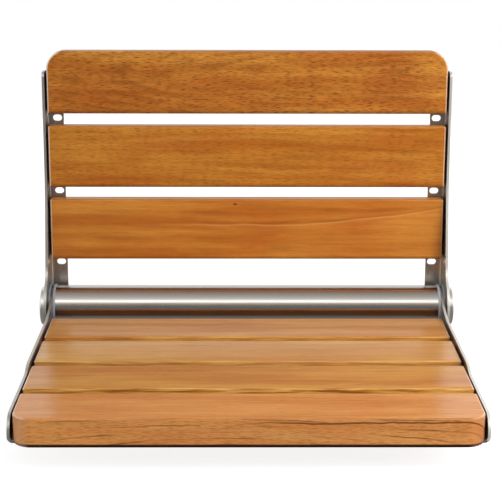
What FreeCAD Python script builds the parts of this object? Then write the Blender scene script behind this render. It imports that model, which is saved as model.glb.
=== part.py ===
import FreeCAD, Part
import math
import os
import re
import Sketcher

# Fold down wall seat. Two wall brackets carry three back slats and a hinge tube, and the seat,
# four slats on two arms, swings about the tube's axis until its arms rest on two stop studs.
# Frame: X across the seat, Y towards the wall, Z up. The origin lies on the wall, midway between
# the two middle fixing slots. Right-hand pieces are drawn, and left-hand ones mirror them.

# Driving dimensions, in millimetres
SIZES = {
    "seat_slat_length": 470,
    "slat_width": 75,
    "slat_gap": 15,
    "back_slat_thickness": 18,
    "seat_slat_thickness": 31,
    "top_corner_radius": 22,
    "front_corner_radius": 20,
    "slat_arris": 2.2,
    "rebate_depth": 4.5,
    "rebate_clearance": 1,
    "sheet_thickness": 3,
    "bend_radius": 3,
    "flange_reach": 23,
    "seat_end_gap": 2,
    "back_end_gap": 2.5,
    "slot_length": 11,
    "slot_width": 7.5,
    "slot_inset": 7.5,
    "slat_above_bracket": 25,
    "bracket_proud": 1,
    "bracket_corner_radius": 6,
    "shoulder_height": 32,
    "shoulder_radius": 250,
    "taper_reach": 23,
    "bracket_neck_radius": 30,
    "bracket_lobe_radius": 42,
    "flange_above_pivot": 17,
    "flange_corner_radius": 3,
    "pivot_below_back": 57.5,
    "seat_below_pivot": 2,
    "fold_clearance": 4,
    "tube_to_seat": 23.1,
    "arm_raise": 4,
    "arm_drop": 6.5,
    "arm_drop_start": 226,
    "arm_drop_radius": 45,
    "arm_lobe_radius": 21,
    "arm_neck_radius": 180,
    "arm_setback": 10,
    "arm_corner_radius": 18,
    "arm_flange_lead": 4,
    "heel_length": 34,
    "heel_overlap": 6,
    "heel_corner_radius": 3,
    "stud_diameter": 8,
    "stud_back": 10,
    "stud_past_arm": 0.5,
    "stud_chamfer": 0.5,
    "tube_diameter": 50.8,
    "tube_wall": 1.5,
    "washer_diameter": 52.8,
    "washer_edge_round": 0.6,
    "bush_flange_thickness": 3,
    "outer_washer_thickness": 2.5,
    "bush_wall": 2,
    "shoulder_diameter": 16,
    "thread_diameter": 12,
    "thread_length": 18,
    "thread_chamfer": 1,
    "bolt_head_diameter": 46.5,
    "bolt_head_thickness": 4.5,
    "bolt_head_round": 2,
    "bolt_socket_width": 8,
    "bolt_socket_depth": 3,
    "cover_washer_diameter": 48,
    "cover_washer_thickness": 3,
    "cover_washer_chamfer": 0.4,
    "plug_length": 20,
    "fit_clearance": 0.05,
    "screw_diameter": 4.5,
    "screw_head_diameter": 8.4,
    "screw_inset": 8,
    "back_screw_low": 12,
    "seat_screw_spread": 40,
    "screw_tip_length": 3,
    "screw_tip_diameter": 0.6,
    "pilot_relief": 1,
    "back_screw_length": 17,
    "seat_screw_length": 25,
    "pan_head_height": 2.6,
    "pan_head_round": 1.4,
    "recess_width": 3,
    "recess_depth": 1.3,
}

# Sizes that follow from the driving ones
FORMULAS = {
    "pitch": "slat_width + slat_gap",
    "bend_outer": "bend_radius + sheet_thickness",
    "arm_inner": "seat_slat_length / 2 + seat_end_gap",
    "arm_outer": "arm_inner + sheet_thickness",
    "bracket_inner": "arm_outer + outer_washer_thickness",
    "bracket_outer": "bracket_inner + sheet_thickness",
    "back_slat_length": "2 * (bracket_inner - back_end_gap)",
    "bracket_front": "sheet_thickness + back_slat_thickness + bracket_proud",
    "back_top": "slat_gap / 2 + pitch + slat_width",
    "bracket_top": "back_top - slat_above_bracket",
    "pivot_below": "pitch - slat_gap / 2 + pivot_below_back",
    "arm_top": "arm_raise - seat_below_pivot",
    "pivot_out": "sheet_thickness + back_slat_thickness + fold_clearance + arm_top",
    "seat_rear": "tube_diameter / 2 + tube_to_seat",
    "arm_front": "seat_rear + 3 * pitch + slat_width - arm_setback",
    "arm_flange_rear": "seat_rear - arm_flange_lead",
    "rebate_top": "seat_slat_thickness - rebate_depth",
    "arm_underside": "seat_below_pivot + rebate_top + sheet_thickness",
    "arm_bend_line": "arm_underside - bend_outer",
    "stud_radius": "stud_diameter / 2",
    "stud_below": "washer_diameter / 2 + stud_radius",
    "heel_back": "stud_back - stud_radius",
    "heel_below": "stud_below + heel_overlap",
    "tail_radius": "pivot_out - stud_back - bend_outer",
    "tube_half": "arm_inner - bush_flange_thickness",
    "shoulder_hole": "shoulder_diameter / 2 + fit_clearance",
    "bush_radius": "shoulder_diameter / 2 + bush_wall",
    "bracket_flange_edge": "bracket_outer - flange_reach",
    "arm_flange_edge": "arm_outer - flange_reach",
    "flange_bottom": "flange_above_pivot - pivot_below",
    "screw_hole": "screw_diameter / 2 + fit_clearance",
    "back_screw_spread": "slat_width - slat_above_bracket - back_screw_low - screw_inset",
}

BACK_SLATS = ["back_slat_bottom", "back_slat_middle", "back_slat_top"]
SEAT_SLATS = ["seat_slat_rear", "seat_slat_second", "seat_slat_third", "seat_slat_front"]

doc = FreeCAD.newDocument("fold_down_wall_seat")
sheet = doc.addObject("Spreadsheet::Sheet", "sizes")
for row, (word, value) in enumerate(SIZES.items(), start=1):
    sheet.set(f"A{row}", word)
    sheet.set(f"B{row}", str(value))
    sheet.setAlias(f"B{row}", word)
for row, (word, formula) in enumerate(FORMULAS.items(), start=1):
    sheet.set(f"D{row}", word)
    sheet.set(f"E{row}", "=" + formula)
    sheet.setAlias(f"E{row}", word)
doc.recompute()
WORDS = set(SIZES) | set(FORMULAS)
parts = {}


def spelled(formula):
    """A formula over the sheet's words, as an expression of the document."""
    return re.sub(r"[a-z_]+", lambda w: "sizes." * (w.group() in WORDS) + w.group(), formula)


def number(formula):
    """The value of a formula over the sheet's words."""
    return float(sheet.evalExpression(spelled(formula)))


def bind(thing, path, formula):
    """Tie a property or a constraint to a formula over the sheet's words."""
    thing.setExpression(path, spelled(formula))


def point(x, y):
    return FreeCAD.Vector(x, y, 0)


# Sketch helpers: every position is a formula, held by a constraint that is tied to it

def new_body(label):
    body = doc.addObject("PartDesign::Body", label)
    body.Label = label
    parts[label] = body
    return body


def new_sketch(body, role, offset="0"):
    """A sketch on one of the body's origin planes, moved along the plane's normal."""
    sketch = body.newObject("Sketcher::SketchObject", body.Name + "_sketch")
    plane = next(f for f in body.Origin.OriginFeatures if f.Role == role)
    sketch.AttachmentSupport = [(plane, "")]
    sketch.MapMode = "FlatFace"
    if offset != "0":
        bind(sketch, ".AttachmentOffset.Base.z", offset)
    return sketch


def dimension(sketch, kind, where, formula):
    """A dimension of the sketch, tied to a formula."""
    index = sketch.addConstraint(Sketcher.Constraint(kind, *where, number(formula)))
    bind(sketch, f"Constraints[{index}]", formula)


def place(sketch, where, x, y):
    """Hold a point of the sketch at two formulas."""
    dimension(sketch, "DistanceX", where, x)
    dimension(sketch, "DistanceY", where, y)


def join(sketch, kind, first, first_end, second, second_end):
    sketch.addConstraint(Sketcher.Constraint(kind, first, first_end, second, second_end))


def line(sketch, start, end):
    return sketch.addGeometry(Part.LineSegment(point(*start), point(*end)), False)


def arc(sketch, centre, radius, start, end):
    """An arc, anticlockwise between two angles in degrees."""
    circle = Part.Circle(point(*centre), FreeCAD.Vector(0, 0, 1), radius)
    return sketch.addGeometry(Part.ArcOfCircle(circle, math.radians(start), math.radians(end)), False)


def polygon(sketch, corners):
    """A closed loop of straight lines through corners given as formulas."""
    points = [(number(x), number(y)) for x, y in corners]
    edges = [line(sketch, a, b) for a, b in zip(points, points[1:] + points[:1])]
    for edge, following in zip(edges, edges[1:] + edges[:1]):
        join(sketch, "Coincident", edge, 2, following, 1)
    for edge, corner in zip(edges, corners):
        place(sketch, (edge, 1), *corner)


def rectangle(sketch, left, bottom, right, top):
    polygon(sketch, [(left, bottom), (right, bottom), (right, top), (left, top)])


def circle(sketch, x, y, radius):
    centre = point(number(x), number(y))
    ring = Part.Circle(centre, FreeCAD.Vector(0, 0, 1), number(radius))
    index = sketch.addGeometry(ring, False)
    place(sketch, (index, 3), x, y)
    dimension(sketch, "Radius", (index,), radius)


def hexagon(sketch, width):
    """A hexagon round the sketch's origin, given its width across flats."""
    half = f"({width}) / 2"
    side = f"({width}) / sqrt(3)"
    polygon(sketch, [(half, f"{side} / 2"), ("0", side), (f"-{half}", f"{side} / 2"),
                     (f"-{half}", f"-{side} / 2"), ("0", f"-{side}"), (half, f"-{side} / 2")])


def slot(sketch, x, y, length, width):
    """A slot with round ends along the sketch's X axis."""
    radius = number(width) / 2
    reach = number(length) / 2 - radius
    cx, cy = number(x), number(y)
    right = arc(sketch, (cx + reach, cy), radius, -90, 90)
    top = line(sketch, (cx + reach, cy + radius), (cx - reach, cy + radius))
    left = arc(sketch, (cx - reach, cy), radius, 90, 270)
    bottom = line(sketch, (cx - reach, cy - radius), (cx + reach, cy - radius))
    join(sketch, "Tangent", right, 2, top, 1)
    join(sketch, "Tangent", top, 2, left, 1)
    join(sketch, "Tangent", left, 2, bottom, 1)
    join(sketch, "Tangent", bottom, 2, right, 1)
    place(sketch, (right, 3), f"{x} + ({length} - {width}) / 2", y)
    place(sketch, (left, 3), f"{x} - ({length} - {width}) / 2", y)
    dimension(sketch, "Radius", (right,), f"{width} / 2")


# Feature helpers

def pad(body, sketch, length, reverse=False):
    feature = body.newObject("PartDesign::Pad", body.Name + "_pad")
    feature.Profile = sketch
    bind(feature, "Length", length)
    feature.Reversed = reverse
    doc.recompute()
    return feature


def pocket(body, sketch, depth, reverse=False):
    """Cut the sketch into the body, and make sure that it did cut."""
    before = body.Shape.Volume
    feature = body.newObject("PartDesign::Pocket", body.Name + "_pocket")
    feature.Profile = sketch
    bind(feature, "Length", depth)
    feature.Reversed = reverse
    doc.recompute()
    if body.Shape.Volume > before - 1:
        raise RuntimeError(f"the pocket {feature.Name} cuts nothing")
    return feature


def revolve(body, sketch, axis):
    feature = body.newObject("PartDesign::Revolution", body.Name + "_revolution")
    feature.Profile = sketch
    feature.ReferenceAxis = (sketch, [axis])
    feature.Angle = 360
    doc.recompute()
    return feature


def edges_of(feature, wanted):
    """Names of the feature's edges whose middle point and direction are wanted."""
    found = []
    for index, edge in enumerate(feature.Shape.Edges, start=1):
        middle = edge.valueAt((edge.FirstParameter + edge.LastParameter) / 2)
        if wanted(middle, edge):
            found.append(f"Edge{index}")
    return found


def fillet(body, base, edges, radius):
    feature = body.newObject("PartDesign::Fillet", body.Name + "_fillet")
    feature.Base = (base, edges)
    bind(feature, "Radius", radius)
    doc.recompute()
    return feature


def chamfer(body, base, edges, length):
    feature = body.newObject("PartDesign::Chamfer", body.Name + "_chamfer")
    feature.Base = (base, edges)
    bind(feature, "Size", length)
    doc.recompute()
    return feature


def runs_along(edge, direction):
    """Whether a straight edge lies along a direction."""
    if not isinstance(edge.Curve, Part.Line):
        return False
    return abs(edge.Curve.Direction.dot(direction)) > 0.999


def mirror(label, source):
    """The left-hand piece that mirrors a right-hand one."""
    feature = doc.addObject("Part::Mirroring", label)
    feature.Label = label
    feature.Source = source
    feature.Normal = FreeCAD.Vector(1, 0, 0)
    parts[label] = feature


def pair(name, make):
    """A right-hand piece and its mirrored left-hand one."""
    body = make("right_" + name)
    mirror("left_" + name, body)


def at_pivot(body):
    """Put a body's local origin on the hinge axis."""
    bind(body, ".Placement.Base.y", "-pivot_out")
    bind(body, ".Placement.Base.z", "-pivot_below")


def normal_angle(first, second, span, side):
    """Angle of the direction along which the second centre lies span beyond the first."""
    across = (second[0] - first[0], second[1] - first[1])
    turn = math.acos(span / math.hypot(*across))
    return math.degrees(math.atan2(across[1], across[0]) + side * turn)


def on_circle(centre, radius, angle):
    turn = math.radians(angle)
    return (centre[0] + radius * math.cos(turn), centre[1] + radius * math.sin(turn))


# Slats: planed boards with rounded arrises, bored for the screws that hold them

def bore_slat(body, plane, offset, rows, x, depth):
    """Blind screw holes at both ends of a slat, cut against the plane's normal."""
    sketch = new_sketch(body, plane, offset)
    for row in rows:
        circle(sketch, x, row, "screw_hole")
        circle(sketch, "-" + x, row, "screw_hole")
    pocket(body, sketch, depth, reverse=True)


def back_slat(label, step):
    """A slat of the back. Its local origin is the middle of its lower rear edge."""
    body = new_body(label)
    sketch = new_sketch(body, "XZ_Plane")
    rectangle(sketch, "-back_slat_length / 2", "0", "back_slat_length / 2", "slat_width")
    base = pad(body, sketch, "back_slat_thickness")
    depth_axis = FreeCAD.Vector(0, 1, 0)
    middle = number("slat_width") / 2
    seams = []
    if label == "back_slat_top":
        corners = edges_of(base, lambda m, e: runs_along(e, depth_axis) and m.z > middle)
        base = fillet(body, base, corners, "top_corner_radius")
        seams = edges_of(base, lambda m, e: runs_along(e, depth_axis) and m.z > middle)
    arrises = [name for name in edges_of(base, lambda m, e: True) if name not in seams]
    fillet(body, base, arrises, "slat_arris")
    rows = ["back_screw_low", "back_screw_low + back_screw_spread"]
    x = "(bracket_flange_edge + screw_inset)"
    bore_slat(body, "XZ_Plane", "0", rows, x, "back_screw_length - sheet_thickness + pilot_relief")
    bind(body, ".Placement.Base.y", "-sheet_thickness")
    bind(body, ".Placement.Base.z", f"slat_gap / 2 + ({step - 1}) * pitch")


def cut_rebates(body, length):
    """Cut away the slat's lower ends where the arms' flanges lie, with a chamfer for their bends."""
    sketch = new_sketch(body, "XZ_Plane", "-rebate_clearance")
    inner = "arm_flange_edge - rebate_clearance"
    end = "seat_slat_length / 2"
    below = "-seat_slat_thickness - rebate_clearance"
    corners = [(inner, below), (f"{end} + rebate_clearance", below),
               (f"{end} + rebate_clearance", "slat_arris - rebate_top"), (end, "slat_arris - rebate_top"),
               (f"{end} - slat_arris", "-rebate_top"), (inner, "-rebate_top")]
    polygon(sketch, corners)
    polygon(sketch, [(f"-({x})", z) for x, z in corners])
    pocket(body, sketch, f"rebate_clearance + {length}", reverse=True)


def seat_slat(label, step):
    """A slat of the seat. Its local origin is the middle of its upper rear edge."""
    body = new_body(label)
    sketch = new_sketch(body, "XY_Plane")
    rectangle(sketch, "-seat_slat_length / 2", "-slat_width", "seat_slat_length / 2", "0")
    base = pad(body, sketch, "seat_slat_thickness", reverse=True)
    upright = FreeCAD.Vector(0, 0, 1)
    middle = -number("slat_width") / 2
    seams = []
    if label == "seat_slat_front":
        corners = edges_of(base, lambda m, e: runs_along(e, upright) and m.y < middle)
        base = fillet(body, base, corners, "front_corner_radius")
        seams = edges_of(base, lambda m, e: runs_along(e, upright) and m.y < middle)
    arrises = [name for name in edges_of(base, lambda m, e: True) if name not in seams]
    fillet(body, base, arrises, "slat_arris")
    rebated = "slat_width - arm_setback" if label == "seat_slat_front" else "slat_width"
    cut_rebates(body, f"{rebated} + rebate_clearance")
    rows = ["-(slat_width - seat_screw_spread) / 2", "-(slat_width + seat_screw_spread) / 2"]
    x = "(arm_flange_edge + screw_inset)"
    bore_slat(body, "XY_Plane", "-rebate_top", rows, x,
              "seat_screw_length - sheet_thickness + pilot_relief")
    bind(body, ".Placement.Base.y", f"-pivot_out - seat_rear - {step} * pitch")
    bind(body, ".Placement.Base.z", "-pivot_below - seat_below_pivot")


# Sheet metal: a flat side plate with a flange folded inwards along one edge

def folded_edge(sketch, outer, centre_y, flange_edge, up):
    """The section of a bend and its flange. up is 1 where the flange lies above the bend's centre."""
    centre_x = f"({outer} - bend_outer)"
    centre = (number(centre_x), number(centre_y))
    inside = number("bend_radius")
    outside = number("bend_outer")
    free = number(flange_edge)
    start, end = (0, 90) if up > 0 else (270, 360)
    plate_end, flange_end = (1, 2) if up > 0 else (2, 1)
    big = arc(sketch, centre, outside, start, end)
    small = arc(sketch, centre, inside, start, end)
    root = line(sketch, (centre[0] + outside, centre[1]), (centre[0] + inside, centre[1]))
    back = line(sketch, (centre[0], centre[1] + up * outside), (free, centre[1] + up * outside))
    lip = line(sketch, (free, centre[1] + up * outside), (free, centre[1] + up * inside))
    face = line(sketch, (free, centre[1] + up * inside), (centre[0], centre[1] + up * inside))
    join(sketch, "Coincident", big, plate_end, root, 1)
    join(sketch, "Coincident", root, 2, small, plate_end)
    join(sketch, "Tangent", big, flange_end, back, 1)
    join(sketch, "Coincident", back, 2, lip, 1)
    join(sketch, "Coincident", lip, 2, face, 1)
    join(sketch, "Tangent", face, 2, small, flange_end)
    join(sketch, "Coincident", big, 3, small, 3)
    for level in (root, back, face):
        sketch.addConstraint(Sketcher.Constraint("Horizontal", level))
    sketch.addConstraint(Sketcher.Constraint("Vertical", lip))
    place(sketch, (big, 3), centre_x, centre_y)
    dimension(sketch, "DistanceY", (root, 1), centre_y)
    dimension(sketch, "Radius", (big,), "bend_outer")
    dimension(sketch, "Radius", (small,), "bend_radius")
    dimension(sketch, "DistanceX", (lip, 1), flange_edge)


def bracket_outline(sketch):
    """The wall bracket's side plate: straight beside the slats, widening to a round lobe about the
    hinge axis. The taper's line passes that axis at taper_reach."""
    rear = -number("bend_outer")
    front = -number("bracket_front")
    top = number("bracket_top")
    corner = number("bracket_corner_radius")
    shoulder = (front - number("shoulder_radius"), number("shoulder_height"))
    lobe = (-number("pivot_out"), -number("pivot_below"))
    lobe_radius = number("bracket_lobe_radius")
    neck_radius = number("bracket_neck_radius")
    reach = number("taper_reach")
    leaving = normal_angle(shoulder, lobe, number("shoulder_radius") + reach, 1)
    foot = on_circle(lobe, reach + neck_radius, leaving + 180)
    climb = math.sqrt((lobe_radius + neck_radius) ** 2 - (reach + neck_radius) ** 2)
    neck = on_circle(foot, climb, leaving + 90)
    facing = math.degrees(math.atan2(lobe[1] - neck[1], lobe[0] - neck[0]))
    tail_radius = number("tail_radius")
    tail_y = rear - tail_radius
    tail_drop = math.sqrt((lobe_radius - tail_radius) ** 2 - (tail_y - lobe[0]) ** 2)
    tail = (tail_y, lobe[1] - tail_drop)
    passing = 360 + math.degrees(math.atan2(tail[1] - lobe[1], tail[0] - lobe[0]))
    taper_top = on_circle(shoulder, number("shoulder_radius"), leaving)
    taper_end = on_circle(neck, neck_radius, leaving)

    back = line(sketch, (rear, tail[1]), (rear, top))
    cap = line(sketch, (rear, top), (front + corner, top))
    nose = arc(sketch, (front + corner, top - corner), corner, 90, 180)
    face = line(sketch, (front, top - corner), (front, shoulder[1]))
    bow = arc(sketch, shoulder, number("shoulder_radius"), leaving, 0)
    taper = line(sketch, taper_top, taper_end)
    flare = arc(sketch, neck, neck_radius, facing, leaving)
    bulge = arc(sketch, lobe, lobe_radius, facing + 180, passing)
    end = arc(sketch, tail, tail_radius, passing, 360)

    join(sketch, "Coincident", back, 2, cap, 1)
    join(sketch, "Tangent", cap, 2, nose, 1)
    join(sketch, "Tangent", nose, 2, face, 1)
    join(sketch, "Tangent", face, 2, bow, 2)
    join(sketch, "Tangent", bow, 1, taper, 1)
    join(sketch, "Tangent", taper, 2, flare, 2)
    join(sketch, "Tangent", flare, 1, bulge, 1)
    join(sketch, "Tangent", bulge, 2, end, 1)
    join(sketch, "Tangent", end, 2, back, 1)
    sketch.addConstraint(Sketcher.Constraint("Vertical", back))
    sketch.addConstraint(Sketcher.Constraint("Horizontal", cap))
    sketch.addConstraint(Sketcher.Constraint("Vertical", face))
    place(sketch, (back, 2), "-bend_outer", "bracket_top")
    dimension(sketch, "Radius", (nose,), "bracket_corner_radius")
    place(sketch, (face, 2), "-bracket_front", "shoulder_height")
    dimension(sketch, "Radius", (bow,), "shoulder_radius")
    place(sketch, (bulge, 3), "-pivot_out", "-pivot_below")
    dimension(sketch, "Distance", (bulge, 3, taper), "taper_reach")
    dimension(sketch, "Radius", (flare,), "bracket_neck_radius")
    dimension(sketch, "Radius", (bulge,), "bracket_lobe_radius")
    dimension(sketch, "Radius", (end,), "tail_radius")


def wall_bracket(label):
    """A wall bracket: slotted wall flange behind the slats, side plate outside their ends."""
    body = new_body(label)
    plate = new_sketch(body, "YZ_Plane", "bracket_inner")
    bracket_outline(plate)
    pad(body, plate, "sheet_thickness")
    section = new_sketch(body, "XY_Plane", "flange_bottom")
    folded_edge(section, "bracket_outer", "-bend_outer", "bracket_flange_edge", 1)
    flange = pad(body, section, "bracket_top - flange_bottom")

    depth_axis = FreeCAD.Vector(0, 1, 0)
    free = number("bracket_flange_edge")
    corners = edges_of(flange, lambda m, e: runs_along(e, depth_axis) and abs(m.x - free) < 0.1)
    fillet(body, flange, corners, "flange_corner_radius")

    slots = new_sketch(body, "XZ_Plane", "sheet_thickness")
    for step in (-1, 0, 1):
        slot(slots, "bracket_flange_edge + slot_inset", f"{step} * pitch", "slot_length", "slot_width")
    pocket(body, slots, "sheet_thickness")

    holes = new_sketch(body, "XZ_Plane")
    for step in (-1, 0, 1):
        for side in (0, 1):
            height = f"slat_gap / 2 + {step} * pitch + back_screw_low + {side} * back_screw_spread"
            circle(holes, "bracket_flange_edge + screw_inset", height, "screw_hole")
    sinks = body.newObject("PartDesign::Hole", body.Name + "_countersinks")
    sinks.Profile = holes
    doc.recompute()
    sinks.DepthType = "ThroughAll"
    sinks.Reversed = True
    bind(sinks, "Diameter", "2 * screw_hole")
    sinks.HoleCutType = "Countersink"
    bind(sinks, "HoleCutDiameter", "screw_head_diameter + 2 * fit_clearance")
    sinks.HoleCutCountersinkAngle = 90
    doc.recompute()

    pins = new_sketch(body, "YZ_Plane", "bracket_outer")
    circle(pins, "-pivot_out", "-pivot_below", "shoulder_hole")
    circle(pins, "stud_back - pivot_out", "-pivot_below - stud_below", "stud_radius + fit_clearance")
    pocket(body, pins, "sheet_thickness")
    return body


def arm_outline(sketch):
    """The seat arm's side plate round the hinge axis: a lobe, a raised rear half that drops by an
    easy double curve, a rounded front corner, and a heel that meets the stop stud."""
    top = number("arm_top")
    low = top - number("arm_drop")
    front = -number("arm_front")
    bottom = -number("arm_bend_line")
    lobe_radius = number("arm_lobe_radius")
    neck_radius = number("arm_neck_radius")
    neck_y = -math.sqrt((lobe_radius + neck_radius) ** 2 - (top + neck_radius) ** 2)
    neck = (neck_y, top + neck_radius)
    neck_turn = math.degrees(math.atan2(neck[1], neck[0]))
    drop_radius = number("arm_drop_radius")
    drop_start = -number("arm_drop_start")
    drop_turn = math.degrees(math.acos(1 - (top - low) / 2 / drop_radius))
    drop_end = drop_start - 2 * drop_radius * math.sin(math.radians(drop_turn))
    corner = number("arm_corner_radius")
    flange_rear = -number("arm_flange_rear")
    heel_back = number("heel_back")
    heel_low = -number("heel_below")
    heel_corner = number("heel_corner_radius")
    heel_front = -number("heel_length")
    heel_turn = -math.degrees(math.acos(heel_back / lobe_radius))

    heel = line(sketch, (heel_back, heel_low + heel_corner), on_circle((0, 0), lobe_radius, heel_turn))
    lobe = arc(sketch, (0, 0), lobe_radius, heel_turn, neck_turn)
    dip = arc(sketch, neck, neck_radius, 270, neck_turn + 180)
    raised = line(sketch, (neck_y, top), (drop_start, top))
    over = arc(sketch, (drop_start, top - drop_radius), drop_radius, 90, 90 + drop_turn)
    into = arc(sketch, (drop_end, low + drop_radius), drop_radius, 270, 270 + drop_turn)
    lowered = line(sketch, (drop_end, low), (front + corner, low))
    nose = arc(sketch, (front + corner, low - corner), corner, 90, 180)
    face = line(sketch, (front, low - corner), (front, bottom))
    base = line(sketch, (front, bottom), (flange_rear, bottom))
    step = line(sketch, (flange_rear, bottom), (heel_front, heel_low))
    sole = line(sketch, (heel_front, heel_low), (heel_back - heel_corner, heel_low))
    toe = arc(sketch, (heel_back - heel_corner, heel_low + heel_corner), heel_corner, 270, 360)

    join(sketch, "Coincident", heel, 2, lobe, 1)
    join(sketch, "Tangent", lobe, 2, dip, 2)
    join(sketch, "Tangent", dip, 1, raised, 1)
    join(sketch, "Tangent", raised, 2, over, 1)
    join(sketch, "Tangent", over, 2, into, 2)
    join(sketch, "Tangent", into, 1, lowered, 1)
    join(sketch, "Tangent", lowered, 2, nose, 1)
    join(sketch, "Tangent", nose, 2, face, 1)
    join(sketch, "Coincident", face, 2, base, 1)
    join(sketch, "Coincident", base, 2, step, 1)
    join(sketch, "Coincident", step, 2, sole, 1)
    join(sketch, "Tangent", sole, 2, toe, 1)
    join(sketch, "Tangent", toe, 2, heel, 1)
    for level in (raised, lowered, base, sole):
        sketch.addConstraint(Sketcher.Constraint("Horizontal", level))
    for upright in (heel, face):
        sketch.addConstraint(Sketcher.Constraint("Vertical", upright))
    join(sketch, "Coincident", lobe, 3, -1, 1)
    dimension(sketch, "Radius", (lobe,), "arm_lobe_radius")
    dimension(sketch, "Radius", (dip,), "arm_neck_radius")
    place(sketch, (raised, 2), "-arm_drop_start", "arm_top")
    dimension(sketch, "Radius", (over,), "arm_drop_radius")
    dimension(sketch, "Radius", (into,), "arm_drop_radius")
    dimension(sketch, "DistanceY", (lowered, 2), "arm_top - arm_drop")
    dimension(sketch, "Radius", (nose,), "arm_corner_radius")
    place(sketch, (face, 2), "-arm_front", "-arm_bend_line")
    dimension(sketch, "DistanceX", (base, 2), "-arm_flange_rear")
    place(sketch, (sole, 1), "-heel_length", "-heel_below")
    dimension(sketch, "DistanceX", (heel, 2), "heel_back")
    dimension(sketch, "Radius", (toe,), "heel_corner_radius")


def seat_arm(label):
    """A seat arm: side plate outside the slats' ends, flange folded in under the slats."""
    body = new_body(label)
    plate = new_sketch(body, "YZ_Plane", "arm_inner")
    arm_outline(plate)
    pad(body, plate, "sheet_thickness")
    section = new_sketch(body, "XZ_Plane", "arm_flange_rear")
    folded_edge(section, "arm_outer", "-arm_bend_line", "arm_flange_edge", -1)
    flange = pad(body, section, "arm_front - arm_flange_rear")

    upright = FreeCAD.Vector(0, 0, 1)
    free = number("arm_flange_edge")
    corners = edges_of(flange, lambda m, e: runs_along(e, upright) and abs(m.x - free) < 0.1)
    fillet(body, flange, corners, "flange_corner_radius")

    holes = new_sketch(body, "XY_Plane", "sheet_thickness - arm_underside")
    for step in range(len(SEAT_SLATS)):
        for side in (-1, 1):
            y = f"-seat_rear - slat_width / 2 - {step} * pitch + {side} * seat_screw_spread / 2"
            circle(holes, "arm_flange_edge + screw_inset", y, "screw_hole")
    pocket(body, holes, "sheet_thickness")

    pivot = new_sketch(body, "YZ_Plane", "arm_outer")
    circle(pivot, "0", "0", "bush_radius + fit_clearance")
    pocket(body, pivot, "sheet_thickness")
    at_pivot(body)
    return body


# Hinge: everything here is turned about the hinge axis

def turned(label, corners):
    """A turned piece on the hinge axis, from its half section of distances along X and radii."""
    body = new_body(label)
    sketch = new_sketch(body, "XZ_Plane")
    polygon(sketch, corners)
    revolve(body, sketch, "H_Axis")
    at_pivot(body)
    return body


def ring(label, start, end, radius, bore):
    return turned(label, [(start, bore), (end, bore), (end, radius), (start, radius)])


def rims(feature, radius):
    """The round edges of a turned piece at one radius."""
    wanted = number(radius)
    return edges_of(feature, lambda m, e: abs(math.hypot(m.y, m.z) - wanted) < 0.01
                    and isinstance(e.Curve, Part.Circle))


def hinge_tube():
    """The tube between the arms, clamped by the pivot bolts through its end plugs."""
    ring("hinge_tube", "-tube_half", "tube_half", "tube_diameter / 2", "tube_diameter / 2 - tube_wall")


def tube_end_plug(label):
    return ring(label, "tube_half - plug_length", "tube_half",
                "tube_diameter / 2 - tube_wall - fit_clearance", "thread_diameter / 2 + fit_clearance")


def pivot_bush(label):
    """The inner bearing: a collar between tube and arm, with a sleeve through the arm."""
    body = turned(label, [("tube_half", "shoulder_hole"), ("arm_outer", "shoulder_hole"),
                          ("arm_outer", "bush_radius"), ("arm_inner", "bush_radius"),
                          ("arm_inner", "washer_diameter / 2"), ("tube_half", "washer_diameter / 2")])
    fillet(body, body.Tip, rims(body.Tip, "washer_diameter / 2"), "washer_edge_round")
    return body


def friction_washer(label):
    body = ring(label, "arm_outer", "bracket_inner", "washer_diameter / 2", "shoulder_hole")
    fillet(body, body.Tip, rims(body.Tip, "washer_diameter / 2"), "washer_edge_round")
    return body


def cover_washer(label):
    body = ring(label, "bracket_outer", "bracket_outer + cover_washer_thickness",
                "cover_washer_diameter / 2", "shoulder_hole")
    chamfer(body, body.Tip, rims(body.Tip, "cover_washer_diameter / 2"), "cover_washer_chamfer")
    return body


def pivot_bolt(label):
    """The shoulder bolt: a thick disc head with a hexagon socket, a shoulder and a thread."""
    inside = "bracket_outer + cover_washer_thickness"
    outside = f"{inside} + bolt_head_thickness"
    tip = "tube_half - thread_length"
    body = turned(label, [
        (tip, "0"), (outside, "0"), (outside, "bolt_head_diameter / 2"),
        (inside, "bolt_head_diameter / 2"), (inside, "shoulder_diameter / 2"),
        ("tube_half", "shoulder_diameter / 2"), ("tube_half", "thread_diameter / 2"),
        (tip, "thread_diameter / 2")])
    far = number(outside)
    near = number(tip)
    rim = edges_of(body.Tip, lambda m, e: abs(m.x - far) < 0.01 and isinstance(e.Curve, Part.Circle))
    head = fillet(body, body.Tip, rim, "bolt_head_round")
    end = edges_of(head, lambda m, e: abs(m.x - near) < 0.01 and isinstance(e.Curve, Part.Circle))
    chamfer(body, head, end, "thread_chamfer")
    socket = new_sketch(body, "YZ_Plane", outside)
    hexagon(socket, "bolt_socket_width")
    pocket(body, socket, "bolt_socket_depth")
    return body


def stop_stud(label):
    """The stud in the bracket's tail that the arm's heel rests on when the seat is down."""
    body = new_body(label)
    sketch = new_sketch(body, "YZ_Plane", "arm_inner - stud_past_arm")
    circle(sketch, "stud_back", "-stud_below", "stud_radius")
    shank = pad(body, sketch, "bracket_outer - arm_inner + stud_past_arm")
    near = number("arm_inner - stud_past_arm")
    tip = edges_of(shank, lambda m, e: abs(m.x - near) < 0.01 and isinstance(e.Curve, Part.Circle))
    chamfer(body, shank, tip, "stud_chamfer")
    at_pivot(body)
    return body


# Screws: one is turned with its head at the local origin, pointing along Z, and then repeated

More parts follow.
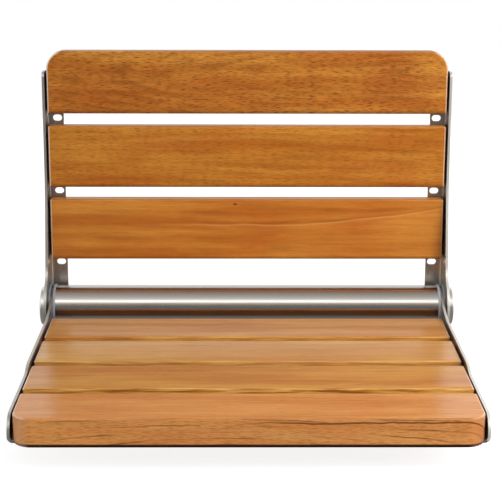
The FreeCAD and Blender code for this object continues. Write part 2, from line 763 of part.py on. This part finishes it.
def screws(label, head, length, slats, spread):
    """Two screws for each slat, in a line along local Y."""
    body = new_body(label)
    sketch = new_sketch(body, "XZ_Plane")
    polygon(sketch, head + [("screw_diameter / 2", f"{length} - screw_tip_length"),
                            ("screw_tip_diameter / 2", length), ("0", length)])
    revolve(body, sketch, "V_Axis")
    face = number(head[0][1])
    if face < 0:
        rim = edges_of(body.Tip, lambda m, e: abs(m.z - face) < 0.01 and isinstance(e.Curve, Part.Circle))
        fillet(body, body.Tip, rim, "pan_head_round")
    recess = new_sketch(body, "XY_Plane", head[0][1])
    hexagon(recess, "recess_width")
    pocket(body, recess, "recess_depth", reverse=True)

    row = (next(f for f in body.Origin.OriginFeatures if f.Role == "Y_Axis"), [""])
    pattern = body.newObject("PartDesign::LinearPattern", body.Name + "_pattern")
    pattern.TransformMode = "Whole shape"
    pattern.Direction = row
    bind(pattern, "Length", spread)
    pattern.Occurrences = 2
    pattern.Direction2 = row
    bind(pattern, "Length2", f"{slats - 1} * pitch")
    pattern.Occurrences2 = slats
    body.Tip = pattern
    doc.recompute()
    return body


def back_screws(label):
    """Countersunk screws, flush with the wall face, that hold the back slats to a bracket."""
    head = [("0", "0"), ("screw_head_diameter / 2", "0"),
            ("screw_diameter / 2", "(screw_head_diameter - screw_diameter) / 2")]
    body = screws(label, head, "back_screw_length", len(BACK_SLATS), "back_screw_spread")
    body.Placement = FreeCAD.Placement(FreeCAD.Vector(), FreeCAD.Rotation(FreeCAD.Vector(1, 0, 0), 90))
    bind(body, ".Placement.Base.x", "bracket_flange_edge + screw_inset")
    bind(body, ".Placement.Base.z", "slat_gap / 2 - pitch + back_screw_low")
    return body


def seat_screws(label):
    """Pan head screws, driven from below, that hold the seat slats to an arm."""
    head = [("0", "-pan_head_height"), ("screw_head_diameter / 2", "-pan_head_height"),
            ("screw_head_diameter / 2", "0"), ("screw_diameter / 2", "0")]
    body = screws(label, head, "seat_screw_length", len(SEAT_SLATS), "seat_screw_spread")
    bind(body, ".Placement.Base.x", "arm_flange_edge + screw_inset")
    bind(body, ".Placement.Base.y",
         "-pivot_out - seat_rear - 3 * pitch - (slat_width + seat_screw_spread) / 2")
    bind(body, ".Placement.Base.z", "-pivot_below - arm_underside")
    return body


# The pieces

for step, label in enumerate(BACK_SLATS):
    back_slat(label, step)
for step, label in enumerate(SEAT_SLATS):
    seat_slat(label, step)
hinge_tube()
pair("wall_bracket", wall_bracket)
pair("seat_arm", seat_arm)
pair("pivot_bush", pivot_bush)
pair("friction_washer", friction_washer)
pair("cover_washer", cover_washer)
pair("pivot_bolt", pivot_bolt)
pair("tube_end_plug", tube_end_plug)
pair("stop_stud", stop_stud)
pair("back_screws", back_screws)
pair("seat_screws", seat_screws)
doc.recompute()

# Check every object, then export each piece under its own name

for item in doc.Objects:
    if "Invalid" in item.State or "Error" in item.State:
        raise RuntimeError(f"{item.Name} is {item.State}")
os.makedirs("parts", exist_ok=True)
for label, piece in parts.items():
    if piece.Shape.isNull() or not piece.Shape.isValid():
        raise RuntimeError(f"{label} has no valid shape")
    piece.Shape.exportStep(f"parts/{label}.step")
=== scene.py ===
import bpy
import math
from mathutils import Matrix, Vector


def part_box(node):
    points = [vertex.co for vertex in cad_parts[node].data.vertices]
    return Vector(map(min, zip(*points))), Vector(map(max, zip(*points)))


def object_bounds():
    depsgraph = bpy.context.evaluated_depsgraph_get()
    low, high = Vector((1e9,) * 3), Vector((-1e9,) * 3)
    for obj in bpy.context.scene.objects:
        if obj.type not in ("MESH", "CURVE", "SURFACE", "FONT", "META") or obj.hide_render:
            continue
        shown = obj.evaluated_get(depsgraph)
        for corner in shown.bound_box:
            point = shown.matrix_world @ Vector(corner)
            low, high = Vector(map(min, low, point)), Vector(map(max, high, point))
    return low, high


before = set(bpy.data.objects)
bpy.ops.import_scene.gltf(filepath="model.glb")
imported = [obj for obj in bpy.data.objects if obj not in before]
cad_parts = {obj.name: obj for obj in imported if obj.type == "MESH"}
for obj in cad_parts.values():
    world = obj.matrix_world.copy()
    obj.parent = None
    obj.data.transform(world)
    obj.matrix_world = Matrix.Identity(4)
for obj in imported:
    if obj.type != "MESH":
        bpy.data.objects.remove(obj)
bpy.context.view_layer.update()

MM = 0.001


def srgb(r, g, b):
    """A colour given as 8-bit sRGB values, in linear light."""
    def linear(v):
        v /= 255
        return v / 12.92 if v <= 0.04045 else ((v + 0.055) / 1.055) ** 2.4
    return (linear(r), linear(g), linear(b), 1.0)


BLACK = (0, 0, 0, 1)
WHITE = (1, 1, 1, 1)

# Node trees

SIDE_X = 0.2        # painted light and shade that differ from left to right change between -SIDE_X and SIDE_X


class Nodes:
    """The node tree of a material or world, built by short calls."""

    def __init__(self, owner, output="OutputMaterial"):
        owner.use_nodes = True
        self.owner = owner
        self.tree = owner.node_tree
        self.tree.nodes.clear()
        self.output = self.add(output)

    def add(self, kind, inputs=None, **settings):
        node = self.tree.nodes.new("ShaderNode" + kind)
        for key, value in settings.items():
            setattr(node, key, value)
        for key, value in (inputs or {}).items():
            if isinstance(value, bpy.types.NodeSocket):
                self.tree.links.new(value, node.inputs[key])
            else:
                node.inputs[key].default_value = value
        return node

    def show(self, shader):
        self.tree.links.new(shader.outputs[0], self.output.inputs["Surface"])
        return self.owner

    def principled(self, inputs):
        return self.show(self.add("BsdfPrincipled", inputs))

    def math(self, operation, a, b=0.0):
        return self.add("Math", {0: a, 1: b}, operation=operation).outputs[0]

    def plus(self, a, b):
        return self.math("ADD", a, b)

    def minus(self, a, b):
        return self.math("SUBTRACT", a, b)

    def times(self, product, *others):
        for other in others:
            product = self.math("MULTIPLY", product, other)
        return product

    def size(self, a):
        return self.math("ABSOLUTE", a)

    def square(self, a):
        return self.times(a, a)

    def spread(self, value, low, high, to_low=0.0, to_high=1.0):
        """The value on a clamped straight line from low, to_low to high, to_high."""
        return self.add("MapRange", {"Value": value, "From Min": low, "From Max": high,
                                     "To Min": to_low, "To Max": to_high}).outputs[0]

    def by_side(self, x, left=0.0, right=1.0):
        """A number that runs from its value on the left to that on the right."""
        return self.spread(x, -SIDE_X, SIDE_X, left, right)

    def split(self, kind):
        """The x, y and z of the Object or Normal coordinates."""
        return list(self.add("SeparateXYZ", {0: self.add("TexCoord").outputs[kind]}).outputs)

    def join(self, x, y):
        return self.add("CombineXYZ", {0: x, 1: y}).outputs[0]

    def noise(self, scale, stretch=(1, 1, 1)):
        """Noise in object coordinates, which stretch scales on each axis."""
        coords = self.add("TexCoord").outputs["Object"]
        place = self.add("Mapping", {"Vector": coords, "Scale": stretch}).outputs[0]
        return self.add("TexNoise", {"Vector": place, "Scale": scale, "Detail": 3.0,
                                     "Roughness": 0.55}).outputs["Fac"]

    def ramp(self, value, stops):
        node = self.add("ValToRGB", {"Fac": value})
        elements = node.color_ramp.elements
        while len(elements) < len(stops):
            elements.new(0.5)
        for element, (where, colour) in zip(elements, stops):
            element.position = where
            element.color = colour
        return node.outputs["Color"]

    def mix(self, factor, a, b, blend="MIX"):
        return self.add("Mix", {0: factor, 6: a, 7: b}, data_type="RGBA", blend_type=blend).outputs[2]

    def bump(self, height, strength, distance, **more):
        return self.add("Bump", {"Height": height, "Strength": strength, "Distance": distance,
                                 **more}).outputs[0]


# Wood

# Noise on the flat coordinates: waves a metre along the grain and over it, detail, roughness, place
FIELDS = {
    "wander": (3, 14, 2, 0.5, 0),
    "ripple": (22, 60, 2, 0.5, 3.1),
    "ring_breaks": (16, 60, 3, 0.5, 7.7),
    "ray_patches": (9, 22, 2, 0.5, 4.4),
    "bands": (3.2, 46, 3, 0.55, 1.3),
    "streaks": (9, 260, 3, 0.6, 2.9),
    "fibres": (40, 900, 2, 0.6, 6.1),
    "red_patches": (8, 17, 2, 0.5, 9.2),
    "seam_drift": (4, 9, 3, 0.5, 11.4),
    "seam_breaks": (8, 6, 1, 0.5, 12.8),
    "front_waves": (18, 420, 3, 0.6, 14.2),
    "vein_sway": (13, 8, 3, 0.6, 17.0),
}
WAVE_TONES = ((0.36, srgb(240, 190, 108)), (0.47, srgb(212, 154, 70)),
              (0.56, srgb(188, 126, 48)), (0.68, srgb(140, 82, 26)))
SEAM_PALE = srgb(222, 158, 92)
VEIN_BROWN = srgb(88, 32, 8)
KNOT_BROWN = srgb(92, 40, 12)
# The end grain's own darker tone, deepened as painted shade for the gaps at the plates
END_GRAIN_SHADE_BROWN = srgb(66, 34, 14)
# Painted shade for the lower arris, which gets no light from below
UNDER_SHADE_BROWN = srgb(48, 18, 5)
# Painted highlight for the arrises at the slat ends
ARRIS_HIGHLIGHT = srgb(255, 230, 210)
# Painted light for the left corners and painted shade for the right ones
CORNER_LIGHT_LEFT, CORNER_SHADE_RIGHT = srgb(236, 176, 136), srgb(156, 100, 66)


class Wood(Nodes):
    """Wood with its grain along X, on the flat coordinates x and level, which is y + z and so runs
    unbroken over a slat's front arris. shift gives each slat a part of the noise of its own."""

    def __init__(self, name, shift):
        super().__init__(bpy.data.materials.new(name))
        self.shift = shift
        self.x, y, self.z = self.split("Object")
        self.facing = dict(zip("XYZ", self.split("Normal")))
        self.end = self.size(self.facing["X"])
        self.level = self.plus(y, self.z)
        self.flat = self.join(self.x, self.level)
        self.bent = self.plus(self.plus(self.level, self.sway("wander", 0.016)),
                              self.sway("ripple", 0.0025))
        self.grain = self.join(self.x, self.bent)

    def field(self, name, source=None):
        """One of the fields, on the flat coordinates or on the bent ones of the grain."""
        along, over, detail, roughness, extra = FIELDS[name]
        seed = (self.shift + extra, 1.7 * self.shift - extra, 0)
        place = self.add("Mapping", {"Vector": source or self.flat, "Scale": (along, over, 1),
                                     "Location": seed}).outputs[0]
        return self.add("TexNoise", {"Vector": place, "Scale": 1.0, "Detail": detail,
                                     "Roughness": roughness}, noise_dimensions="2D").outputs["Fac"]

    def sway(self, name, reach):
        """A field as a distance to either side, reach metres from end to end."""
        return self.times(self.minus(self.field(name), 0.5), reach)

    def rings(self, centre, stretch, pitch, width):
        """Growth rings, as broken dark lines on long ellipses about centre."""
        along = self.math("DIVIDE", self.minus(self.x, centre[0]), stretch)
        over = self.minus(self.bent, centre[1])
        radius = self.math("SQRT", self.plus(self.square(along), self.square(over)))
        ring = self.math("FRACT", self.math("DIVIDE", radius, pitch))
        line = self.ramp(ring, ((0.0, BLACK), (1 - width, BLACK), (1 - 0.2 * width, WHITE), (1.0, BLACK)))
        return self.times(line, self.spread(self.field("ring_breaks"), 0.4, 0.62))

    def dashes(self, length, width, extra, core, rim):
        """Short spindles, one to a cell of length by width, each with its own depth of colour. core
        and rim are the distances from a cell's point, in cells, where a spindle is full and ends."""
        place = self.add("Mapping", {"Vector": self.grain, "Scale": (1 / length, 1 / width, 1),
                                     "Location": (extra, self.shift, 0)}).outputs[0]
        cells = self.add("TexVoronoi", {"Vector": place, "Scale": 1.0},
                         voronoi_dimensions="2D").outputs
        own = self.add("SeparateColor", {0: cells["Color"]}).outputs[0]
        return self.times(self.spread(cells["Distance"], rim, core),
                          self.spread(own, 0.1, 0.9, 0.35, 1.0))

    def rays(self):
        """The fine dark dashes of beech, in two lengths."""
        long = self.dashes(14 * MM, 1.8 * MM, 0.3, 0.18, 0.3)
        short = self.dashes(9 * MM, 1.5 * MM, 5.3, 0.16, 0.28)
        both = self.math("MAXIMUM", long, self.times(short, 0.6))
        return self.times(both, self.spread(self.field("ray_patches"), 0.3, 0.6, 0.8, 1.0))

    def draw_seam(self, colour, level, dark):
        """A thin pale vein under a dark line, which fades out to the left and rises to the right."""
        run = self.math("MAXIMUM", self.plus(self.x, 0.03), 0.0)
        off = self.minus(self.plus(self.level, self.sway("seam_drift", 0.02)),
                         self.times(self.square(run), 0.3))
        off = self.minus(off, level)
        share = self.times(self.spread(self.field("seam_breaks"), 0.35, 0.6, 0.3, 1.0),
                           self.spread(self.x, -0.16, -0.03))
        above = self.spread(self.size(self.minus(off, 2.2 * MM)), 0.0, 2 * MM, 0.3, 0.0)
        pale = self.spread(self.size(off), 0.0, 1.9 * MM, 0.4, 0.0)
        colour = self.mix(self.times(above, share), colour, dark)
        return self.mix(self.times(pale, share), colour, SEAM_PALE)

    def draw_waves(self, colour, strength):
        """The wavy figure of a front face."""
        wave = self.ramp(self.field("front_waves"), WAVE_TONES)
        return self.mix(self.spread(self.facing["Y"], -0.5, -0.85, 0.0, strength), colour, wave)

    def draw_under_shade(self, colour, foot, strength):
        """Painted shade on the lower arris, which faces down, just over the height foot."""
        # painted shade: darker where the surface faces down near the lower face
        low = self.times(self.spread(self.z, foot + 4.4 * MM, foot + 3.2 * MM),
                         self.spread(self.facing["Z"], -0.99, -0.9))
        return self.mix(self.times(low, strength), colour, UNDER_SHADE_BROWN)

    def draw_end_arris_highlights(self, colour, broad, left, right):
        """Painted highlights on the arrises between the ends and the broad faces, stronger at the left end
        than at the right.
        """
        turned = self.times(self.spread(self.end, 0.12, 0.4),
                            self.spread(self.size(self.facing[broad]), 0.15, 0.4))
        shine = self.spread(self.facing["X"], -0.01, 0.01, left, right)
        return self.mix(self.times(turned, shine), colour, ARRIS_HIGHLIGHT)

    def draw_corner_light_and_shade(self, colour):
        """Painted light on the upright corners between front and ends at the left, and painted shade on
        those at the right.
        """
        turned = self.times(self.spread(self.end, 0.1, 0.6),
                            self.spread(self.size(self.facing["Z"]), 0.4, 0.1),
                            self.spread(self.end, 0.99, 0.9))
        # the painted light or shade, lighter at the left than at the right
        plain = self.mix(self.by_side(self.x), CORNER_LIGHT_LEFT, CORNER_SHADE_RIGHT)
        return self.mix(self.times(turned, 0.4), colour, plain)

    def draw_vein(self, colour, level, dark):
        """A dark vein on the right half, and painted shade on the front arris, growing towards the right.
        """
        off = self.size(self.minus(self.plus(self.level, self.sway("vein_sway", 0.007)), level))
        share = self.times(self.spread(off, 0.3 * MM, 1.3 * MM, 0.85, 0.0),
                           self.spread(self.x, -0.02, 0.05))
        colour = self.mix(share, colour, VEIN_BROWN)
        # Painted shade on the front arris, stronger on the right than on the left
        arris_shade = self.times(self.spread(self.facing["Z"], 0.1, 0.5),
                          self.spread(self.facing["Y"], -0.1, -0.5), self.by_side(self.x, 0.1, 0.4))
        return self.mix(arris_shade, colour, dark)

    def draw_knot(self, colour, x, level, length, height):
        """A dark pin knot."""
        along = self.math("DIVIDE", self.minus(self.x, x), length / 2)
        over = self.math("DIVIDE", self.minus(self.level, level), height / 2)
        gap = self.plus(self.square(along), self.square(over))
        return self.mix(self.spread(gap, 0.4, 1.0, 0.85, 0.0), colour, KNOT_BROWN)

    def draw_end_grain_and_shade(self, colour):
        """The dark end grain, deepened past its own tone as painted shade for the narrow gaps between the
        slat ends and the steel plates.
        """
        return self.mix(self.spread(self.end, 0.9, 0.99, 0.0, 0.8), colour, END_GRAIN_SHADE_BROWN)


def wood(name, shift, foot, tones, centre, broad="Y", stretch=14, pitch=11 * MM, width=0.55, line=0.3,
         fleck=1.0, streak=0.25, calm=1.0, waves=0.0, under=0.3, arris=(0.95, 0.3), seam=None,
         vein=None, knot=None, gloss=0.35, rough=(0.2, 0.28)):
    """Oiled beech. tones are its light, its deep, its dark and its reddish one. foot is the height
    of the slat's lower face, and broad the axis of its broad faces.

    The growth rings are ellipses about centre, stretch times as long as high and pitch apart. Their
    dark lines fill the share width of the pitch, and end sharply on the outer side, or on the inner
    one if the pitch is negative.

    Strengths: line is that of the rings, fleck of the rays, streak of the streaks, waves of the
    front face's figure, under of the painted shade on the lower arris, and arris of the painted
    highlights on the arrises at the left and the right end. calm is the share of rings and rays that
    stays on the upper face.

    seam and vein are levels, and knot is x, level, length and height. gloss is the specular level,
    and rough the range of the roughness."""
    light, deep, dark, red = tones
    n = Wood(name, shift)
    rings = n.rings(centre, stretch, pitch, width)
    rays = n.rays()
    if calm < 1:
        strong = n.spread(n.facing["Z"], 0.3, 0.8, 1.0, calm)
        rings = n.times(rings, strong)
        rays = n.times(rays, strong)
    streaks = n.field("streaks", n.grain)
    fibres = n.field("fibres", n.grain)

    colour = n.mix(n.spread(n.field("bands", n.grain), 0.36, 0.62), deep, light)
    colour = n.mix(n.spread(n.field("red_patches"), 0.48, 0.7, 0.0, 0.4), colour, red)
    colour = n.mix(n.spread(streaks, 0.42, 0.7, 0.0, streak), colour, dark)
    colour = n.mix(n.spread(fibres, 0.45, 0.7, 0.0, 0.18), colour, dark)
    colour = n.mix(n.times(rings, line), colour, dark)
    colour = n.mix(n.times(rays, 0.75 * fleck), colour, dark)
    if seam is not None:
        colour = n.draw_seam(colour, seam, dark)
    if waves:
        colour = n.draw_waves(colour, waves)
    colour = n.draw_under_shade(colour, foot, under)
    colour = n.draw_end_arris_highlights(colour, broad, *arris)
    if broad == "Z":
        colour = n.draw_corner_light_and_shade(colour)
    if vein is not None:
        colour = n.draw_vein(colour, vein, dark)
    if knot:
        colour = n.draw_knot(colour, *knot)
    colour = n.draw_end_grain_and_shade(colour)

    relief = n.minus(n.times(fibres, 0.5), n.times(rays, 0.5))
    return n.principled({"Base Color": colour, "Roughness": n.spread(streaks, 0.3, 0.7, *rough),
                         "Specular IOR Level": gloss, "Normal": n.bump(relief, 0.12, 0.2 * MM)})


def arris_level(label):
    """The level of a slat's upper front arris, before its rounding."""
    low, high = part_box(label)
    return low[1] + high[2]


BACK_LEVEL = -12 * MM       # y midway through the back slats
KNOT_LEVEL = arris_level("back_slat_bottom") - 6 * MM
VEIN_LEVEL = arris_level("seat_slat_front") - 4.5 * MM
TOP_TONES = (srgb(204, 137, 53), srgb(179, 106, 34), srgb(106, 50, 8), srgb(172, 86, 26))
MIDDLE_TONES = (srgb(197, 130, 46), srgb(177, 104, 29), srgb(112, 54, 9), srgb(182, 93, 31))
BOTTOM_TONES = (srgb(202, 132, 52), srgb(182, 105, 34), srgb(114, 53, 10), srgb(186, 94, 33))
SEAT_TONES = (srgb(208, 150, 76), srgb(190, 124, 56), srgb(142, 84, 32), srgb(196, 118, 62))
PALE_TONES = (srgb(214, 162, 90), srgb(198, 140, 72), srgb(150, 94, 40), srgb(202, 134, 78))
FRONT_TONES = (srgb(219, 152, 83), srgb(208, 135, 68), srgb(106, 50, 18), srgb(206, 120, 62))
BACK = dict(gloss=0.22, rough=(0.3, 0.38))
SEAT = dict(broad="Z", fleck=0.15, waves=0.45)
SLATS = {
    "back_slat_top": dict(BACK, tones=TOP_TONES, centre=(0.25, BACK_LEVEL + 0.137), stretch=9,
                          pitch=-6.2 * MM, width=0.9, line=0.4, fleck=1.15),
    "back_slat_middle": dict(BACK, tones=MIDDLE_TONES, centre=(-0.3, BACK_LEVEL - 0.03), stretch=12,
                             fleck=0.75, streak=0.2),
    "back_slat_bottom": dict(BACK, tones=BOTTOM_TONES, centre=(0.3, BACK_LEVEL - 0.2), stretch=12,
                             pitch=16 * MM, width=0.8, line=0.25, fleck=0.15, streak=0.15,
                             seam=KNOT_LEVEL - 27 * MM,
                             knot=(-14.5 * MM, KNOT_LEVEL, 6.5 * MM, 3 * MM)),
    "seat_slat_rear": dict(SEAT, tones=SEAT_TONES, centre=(0.5, -0.5), line=0.25, gloss=0.2),
    "seat_slat_second": dict(SEAT, tones=PALE_TONES, centre=(-0.5, -0.2)),
    "seat_slat_third": dict(SEAT, tones=SEAT_TONES, centre=(0.2, -0.7), line=0.35, waves=0.9),
    "seat_slat_front": dict(tones=FRONT_TONES, centre=(-0.03, -0.6), broad="Z", stretch=9,
                            pitch=7.5 * MM, width=0.2, line=0.95, fleck=0.6, streak=0.15,
                            calm=0.35, under=1.0, arris=(0.5, 0.3), vein=VEIN_LEVEL),
}

# Steel and nylon

PLATE_X = 236.5 * MM    # the side plates of brackets and arms lie outside this,
PLATE_Y = -6 * MM       # and clear of the brackets' wall flanges in front of this
# Pale matt cut edges, with painted light: the left tone shaded, the right one lit
CUT_SHADED_LEFT, CUT_LIT_RIGHT = srgb(196, 192, 187), srgb(224, 220, 211)


def steel(name, tint, roughness, brush=(1, 1, 1), rounding=0.0, cut=0.0):
    """Stainless steel with a fine brushing: brush scales its noise on each axis. rounding is the
    radius to which shading rounds the edges. cut is how matt the pale cut edges of the side plates
    are. Their tone and mattness also carry painted light: paler and matter on the right, greyer and
    more metallic on the left."""
    n = Nodes(bpy.data.materials.new(name))
    scratch = n.noise(60.0, brush)
    rough = n.plus(n.spread(scratch, 0.3, 0.7, roughness - 0.04, roughness + 0.04),
                   n.spread(n.noise(12.0), 0.3, 0.7, -0.02, 0.02))
    darker = tuple(0.8 * c for c in tint[:3]) + (1,)
    colour = n.mix(n.spread(scratch, 0.35, 0.65, 0.0, 0.25), tint, darker)
    soft = {}
    if rounding:
        soft["Normal"] = n.add("Bevel", {"Radius": rounding}, samples=6).outputs[0]
    metal = 1.0
    if cut:
        x, y, _ = n.split("Object")
        side = n.math("GREATER_THAN", n.size(x), PLATE_X)
        clear = n.math("LESS_THAN", y, PLATE_Y)
        edge = n.times(side, clear, n.spread(n.size(n.split("Normal")[0]), 0.85, 0.4))
        # painted light: the cut edges paler and matter on the right than on the left
        colour = n.mix(edge, colour, n.mix(n.by_side(x), CUT_SHADED_LEFT, CUT_LIT_RIGHT))
        rough = n.plus(rough, n.times(edge, 0.12))
        metal = n.minus(1.0, n.times(edge, n.by_side(x, 0.3 * cut, cut)))
    return n.principled({"Base Color": colour, "Metallic": metal, "Roughness": rough,
                         "Normal": n.bump(scratch, 0.04, 0.1 * MM, **soft)})


def nylon(name, left, right):
    """Blue-grey nylon, finely mottled, with painted light: a darker tone for the left pieces and a lighter
    one for the right.
    """
    n = Nodes(bpy.data.materials.new(name))
    mottle = n.noise(90.0)
    tint = n.mix(n.by_side(n.split("Object")[0]), left, right)
    colour = n.mix(n.spread(mottle, 0.3, 0.7, 0.0, 0.3), tint, (0.62, 0.62, 0.64, 1), "MULTIPLY")
    return n.principled({"Base Color": colour, "Roughness": 0.5,
                         "Normal": n.bump(mottle, 0.05, 0.3 * MM)})


looks = {label: wood("wood_" + label, 3.7 * index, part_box(label)[0][2], **figure)
         for index, (label, figure) in enumerate(SLATS.items())}
looks["hinge_tube"] = steel("tube_steel", srgb(196, 191, 186), 0.22, (0.3, 25, 25))
turned_look = steel("turned_steel", srgb(236, 234, 231), 0.38, (1, 8, 8), 0.3 * MM)
screw_look = steel("screw_steel", srgb(205, 203, 202), 0.2)
SIDE_LOOKS = {
    "wall_bracket": steel("bracket_steel", srgb(196, 190, 184), 0.3, (25, 25, 1), 0.4 * MM, 0.3),
    "seat_arm": steel("arm_steel", srgb(196, 190, 184), 0.3, (25, 1, 25), 0.4 * MM, 0.5),
    "pivot_bolt": turned_look,
    "cover_washer": turned_look,
    "tube_end_plug": turned_look,
    "stop_stud": turned_look,
    "back_screws": screw_look,
    "seat_screws": screw_look,
    # The left and right tones are painted light, lighter on the right
    "friction_washer": nylon("washer_nylon", srgb(122, 128, 132), srgb(160, 167, 172)),
    "pivot_bush": nylon("bush_nylon", srgb(146, 151, 161), srgb(196, 206, 217)),
}
for label, look in SIDE_LOOKS.items():
    looks["left_" + label] = looks["right_" + label] = look
for label, look in looks.items():
    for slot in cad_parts[label].material_slots:
        slot.material = look

# Floor

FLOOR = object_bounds()[0][2] - 20 * MM
FLOOR_HALF = 4.0


def seen_plainly(n):
    """1 for the camera's rays and for mirrored and transmitted ones, and 0 for all others."""
    path = n.add("LightPath").outputs
    return n.math("MAXIMUM", path["Is Camera Ray"],
                  n.math("MAXIMUM", path["Is Glossy Ray"], path["Is Transmission Ray"]))


def white_floor():
    """A pale floor that the camera and mirror reflections see as white, darker where it is shaded."""
    n = Nodes(bpy.data.materials.new("floor_white"))
    plain = n.add("BsdfDiffuse", {"Color": (0.4, 0.4, 0.4, 1)})
    glow = n.add("Emission", {"Color": WHITE, "Strength": n.times(seen_plainly(n), 0.85)})
    return n.show(n.add("AddShader", {0: plain.outputs[0], 1: glow.outputs[0]}))


def strip(name, profile, half, look):
    """A sheet across X, through a profile of (y, z) points, that is part of the studio."""
    corners = [(x, y, z) for y, z in profile for x in (-half, half)]
    faces = [(2 * i, 2 * i + 1, 2 * i + 3, 2 * i + 2) for i in range(len(profile) - 1)]
    sheet = bpy.data.meshes.new(name)
    sheet.from_pydata(corners, [], faces)
    sheet.materials.append(look)
    thing = bpy.data.objects.new(name, sheet)
    bpy.context.collection.objects.link(thing)
    return thing


strip("floor", [(-FLOOR_HALF, FLOOR), (FLOOR_HALF, FLOOR)], FLOOR_HALF, white_floor())

# A dim card in front and above, which only mirror reflections see, gives the steel its contrast

HINGE = Vector((0, -0.027, -0.14))
CARD_REACH = 2.3
CARD_HALF = 2.2
CARD_TOP = 3.2
CARD_COLOUR = (1, 0.98, 0.95)
# Elevation about the hinge in degrees, and the light from there
CARD_LEVELS = ((-30, 0.22), (0, 0.15), (8, 0.18), (16, 0.26), (24, 0.42), (31, 0.8), (34, 1.8), (36, 3.2),
               (41, 3.2), (44, 1.4), (49, 0.95), (56, 0.8), (65, 0.66), (81, 0.45), (100, 0.35), (120, 0.3))


def card_glow():
    n = Nodes(bpy.data.materials.new("card_glow"))
    _, y, z = n.split("Object")
    rise = n.math("ARCTAN2", n.minus(z, HINGE.z), n.minus(HINGE.y, y))
    low, high = math.radians(CARD_LEVELS[0][0]), math.radians(CARD_LEVELS[-1][0])
    stops = [((math.radians(angle) - low) / (high - low),
              [c * level / CARD_TOP for c in CARD_COLOUR] + [1])
             for angle, level in CARD_LEVELS]
    colour = n.ramp(n.spread(rise, low, high), stops)
    return n.show(n.add("Emission", {"Color": colour, "Strength": CARD_TOP}))


card_profile = [(0.3, FLOOR + 2 * MM), (-1.2, FLOOR + 4 * MM), (HINGE.y - CARD_REACH, FLOOR + 10 * MM)]
for degrees in range(0, 125, 5):
    angle = math.radians(degrees)
    card_profile.append((HINGE.y - CARD_REACH * math.cos(angle), HINGE.z + CARD_REACH * math.sin(angle)))
card = strip("dim_card", card_profile, CARD_HALF, card_glow())
card.visible_camera = False
card.visible_diffuse = False
card.visible_transmission = False
card.visible_shadow = False

# World: white where it is seen, directly or mirrored, and a plain even light otherwise

scene = bpy.context.scene
scene.world = bpy.data.worlds.new("studio")
sky = Nodes(scene.world, "OutputWorld")
level = sky.spread(seen_plainly(sky), 0.0, 1.0, 0.4, 1.0)
sky.show(sky.add("Background", {"Color": WHITE, "Strength": level}))

# Lamps


def area_light(name, where, target, size, power):
    lamp = bpy.data.lights.new(name, "AREA")
    lamp.shape = "RECTANGLE"
    lamp.size, lamp.size_y = size
    lamp.energy = power
    thing = bpy.data.objects.new(name, lamp)
    bpy.context.collection.objects.link(thing)
    where = Vector(where)
    thing.location = where
    thing.rotation_euler = (Vector(target) - where).to_track_quat("-Z", "Y").to_euler()
    return thing


for name, place, size, power in (("key", (0.7, -1.0, 1.2), (1.6, 0.8), 8),
                                 ("right_fill", (1.0, -0.9, 0.6), (0.9, 0.9), 16),
                                 ("front_fill", (-0.55, -0.9, -0.2), (0.3, 0.2), 1.4),
                                 ("left_fill", (-1.6, -0.6, 0.1), (0.4, 1.0), 3.3),
                                 ("back_fill", (0, 1.8, 0.1), (1.6, 0.8), 9)):
    area_light(name, place, HINGE, size, power).visible_glossy = False
area_light("right_edge", (1.5, -0.3, 0.05), (0.2, -0.1, 0), (0.3, 1.0), 3)

# Camera, from the fit to the photograph

PITCH = math.radians(13.94)
YAW = math.radians(0.51)
ROLL = math.radians(-0.16)
EYE = (-0.0120, -1.7982, 0.3702)
FOCAL_PIXELS = 1489.94
PHOTO_PIXELS = 500
SENSOR = 36
camera_data = bpy.data.cameras.new("camera")
camera_data.sensor_width = SENSOR
camera_data.lens = FOCAL_PIXELS / PHOTO_PIXELS * SENSOR
camera_data.clip_start = 0.05
camera_data.clip_end = 50
forward = Vector((math.sin(YAW) * math.cos(PITCH), math.cos(YAW) * math.cos(PITCH), -math.sin(PITCH)))
right = Vector((math.cos(YAW), -math.sin(YAW), 0))
down = forward.cross(right)
across = right * math.cos(ROLL) + down * math.sin(ROLL)
below = -right * math.sin(ROLL) + down * math.cos(ROLL)
turn = Matrix((across, -below, -forward)).transposed().to_4x4()
camera = bpy.data.objects.new("camera", camera_data)
bpy.context.collection.objects.link(camera)
camera.matrix_world = Matrix.Translation(EYE) @ turn
scene.camera = camera
scene.view_settings.view_transform = "Standard"
